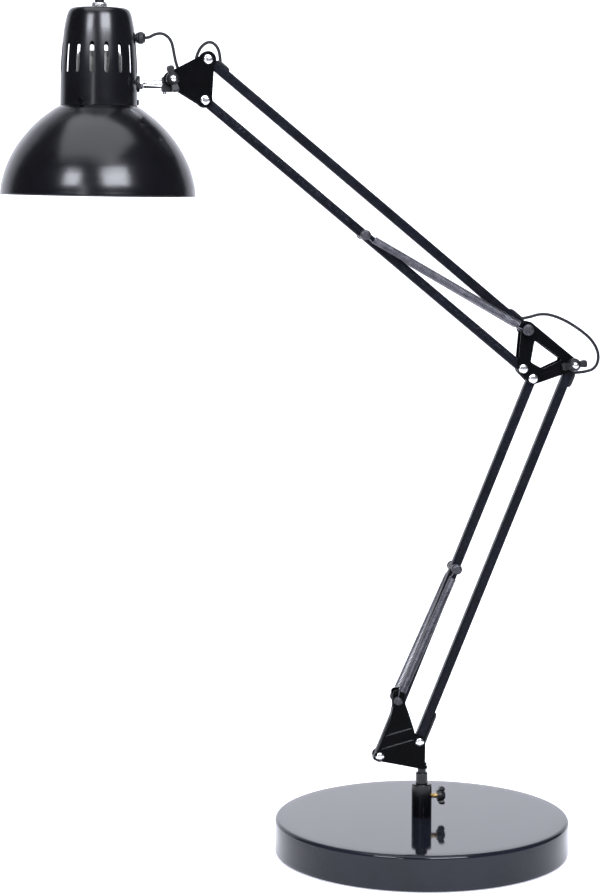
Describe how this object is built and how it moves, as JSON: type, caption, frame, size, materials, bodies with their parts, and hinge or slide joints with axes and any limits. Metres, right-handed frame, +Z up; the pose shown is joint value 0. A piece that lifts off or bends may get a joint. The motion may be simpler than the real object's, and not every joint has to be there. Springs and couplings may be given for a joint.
{
  "type": "spring-balanced desk lamp",
  "caption": "Adjustable desk lamp: weighted round base, swivelling post, two spring-balanced parallelogram arms of square tube, and a tilting dome shade.",
  "frame": {"origin": "centre of the underside of the round base", "axes": "+Z up; the arms lie in the XZ plane with the elbow towards +X and the shade towards -X"},
  "size_m": [0.4807, 0.24, 0.6899],
  "materials": {
    "gloss_black": "glossy black stove enamel",
    "base_enamel": "high-gloss black enamel",
    "tube_black": "semi-gloss black paint on square tube",
    "bracket_black": "semi-gloss black paint on pressed steel",
    "bright_steel": "bright nickel plating",
    "zinc_steel": "zinc-plated",
    "spring_steel": "oiled spring steel",
    "anchor_grey": "dull zinc plating",
    "brass": "turned brass",
    "black_plastic": "moulded black plastic",
    "nylon": "natural nylon",
    "flex_black": "flexible PVC sheath",
    "iron": "rough casting",
    "felt": "soft black pad",
    "shade_inside": "glossy black outside, white inside",
    "porcelain": "white insulating moulding",
    "contact_brass": "formed brass",
    "bulb_glass": "opal glass"
  },
  "bodies": {
    "base": {"base_cover": "base_enamel", "ballast_disc": "iron", "base_pad": "felt", "base_socket": "gloss_black", "socket_nut": "zinc_steel"},
    "clamp": {"clamp_screw": "brass", "clamp_wing": "black_plastic"},
    "swivel": {"swivel_post": "gloss_black", "lower_bracket": "bracket_black", "lower_rivets": "bright_steel", "lower_spacers": "nylon", "spring_studs": "anchor_grey"},
    "lower_arm": {"lower_rear_tube": "tube_black", "lower_flex_grommets": "black_plastic", "flex_lower_run": "flex_black", "flex_elbow_b": "flex_black"},
    "lower_link": {"lower_front_tube": "tube_black", "lower_front_plugs": "black_plastic", "lower_anchor_bolt": "anchor_grey", "lower_springs": "spring_steel"},
    "elbow": {"elbow_plates": "bracket_black", "elbow_rivets": "bright_steel", "elbow_spring_pin": "anchor_grey", "elbow_washers": "nylon", "elbow_bolt": "bright_steel"},
    "elbow_nut": {"elbow_wing_nut": "black_plastic"},
    "upper_arm": {"upper_rear_tube": "tube_black", "upper_flex_grommets": "black_plastic", "flex_upper_run": "flex_black", "flex_elbow_a": "flex_black"},
    "upper_link": {"upper_front_tube": "tube_black", "upper_front_plugs": "black_plastic", "upper_anchor_bolt": "anchor_grey", "upper_springs": "spring_steel"},
    "head_bracket": {"head_plates": "bracket_black", "head_rivets": "bright_steel", "head_washers": "nylon", "head_bolt": "bright_steel", "flex_head_c": "flex_black"},
    "head_nut": {"head_wing_nut": "black_plastic"},
    "pivot": {"pivot_block": "black_plastic", "grub_screw": "zinc_steel", "flex_head_b": "flex_black"},
    "head": {"stem_rod": "bright_steel", "stem_washer": "black_plastic", "stem_nut": "bright_steel", "stem_locknut": "zinc_steel", "socket_housing": "gloss_black", "housing_screws": "bracket_black", "shade": "shade_inside", "holder_flange": "zinc_steel", "lampholder": "porcelain", "holder_shell": "contact_brass", "shade_ring": "porcelain", "bulb": "bulb_glass", "flex_gland": "black_plastic", "switch_body": "black_plastic", "switch_ring_nut": "bright_steel", "flex_head_a": "flex_black"},
    "button": {"switch_button": "black_plastic"}
  },
  "joints": [
    {"name": "post_swivel", "type": "hinge", "parent": "base", "child": "swivel", "pos_m": [0, 0, 0.05], "axis": [0, 0, 1], "continuous": true},
    {"name": "clamp_turn", "type": "hinge", "parent": "base", "child": "clamp", "pos_m": [0.013, 0, 0.0456], "axis": [1, 0, 0], "range_deg": [-180, 180]},
    {"name": "lower_arm_swing", "type": "hinge", "parent": "swivel", "child": "lower_arm", "pos_m": [-0.00315, 0, 0.092], "axis": [0, 1, 0], "range_deg": [-55, 28]},
    {"name": "lower_link_swing", "type": "hinge", "parent": "swivel", "child": "lower_link", "pos_m": [-0.0359, 0, 0.0811], "axis": [0, 1, 0], "range_deg": [-55, 28], "deforming": ["lower_springs"]},
    {"name": "elbow_level", "type": "hinge", "parent": "lower_arm", "child": "elbow", "pos_m": [0.12107, 0, 0.39838], "axis": [0, 1, 0], "range_deg": [-28, 55], "deforming": ["flex_elbow_b"]},
    {"name": "elbow_nut_turn", "type": "hinge", "parent": "elbow", "child": "elbow_nut", "pos_m": [0.12107, 0, 0.39838], "axis": [0, 1, 0], "range_deg": [-180, 180]},
    {"name": "upper_arm_swing", "type": "hinge", "parent": "elbow", "child": "upper_arm", "pos_m": [0.0827, 0, 0.4271], "axis": [0, 1, 0], "range_deg": [-65, 32], "deforming": ["flex_elbow_a"]},
    {"name": "upper_link_swing", "type": "hinge", "parent": "elbow", "child": "upper_link", "pos_m": [0.0802, 0, 0.3956], "axis": [0, 1, 0], "range_deg": [-65, 32], "deforming": ["upper_springs"]},
    {"name": "head_level", "type": "hinge", "parent": "upper_arm", "child": "head_bracket", "pos_m": [-0.17348, 0, 0.64016], "axis": [0, 1, 0], "range_deg": [-32, 65], "deforming": ["flex_head_c"]},
    {"name": "head_nut_turn", "type": "hinge", "parent": "head_bracket", "child": "head_nut", "pos_m": [-0.2015, 0, 0.6248], "axis": [0, 1, 0], "range_deg": [-180, 180]},
    {"name": "head_tilt", "type": "hinge", "parent": "head_bracket", "child": "pivot", "pos_m": [-0.2015, 0, 0.6248], "axis": [0, 1, 0], "range_deg": [-32, 45], "deforming": ["flex_head_b"]},
    {"name": "head_roll", "type": "hinge", "parent": "pivot", "child": "head", "pos_m": [-0.21507, 0, 0.62082], "axis": [0.9999, 0, -0.0166], "range_deg": [-75, 75], "deforming": ["flex_head_a"]},
    {"name": "switch_press", "type": "slide", "parent": "head", "child": "button", "axis": [0.0166, 0, 0.9999], "range_m": [-0.003, 0], "stiffness_N_per_m": 250, "springref_m": 0.002}
  ],
  "couplings": [
    {"joint": "lower_link_swing", "follows": "lower_arm_swing", "ratio": 1},
    {"joint": "elbow_level", "follows": "lower_arm_swing", "ratio": -1},
    {"joint": "upper_link_swing", "follows": "upper_arm_swing", "ratio": 1},
    {"joint": "head_level", "follows": "upper_arm_swing", "ratio": -1}
  ]
}
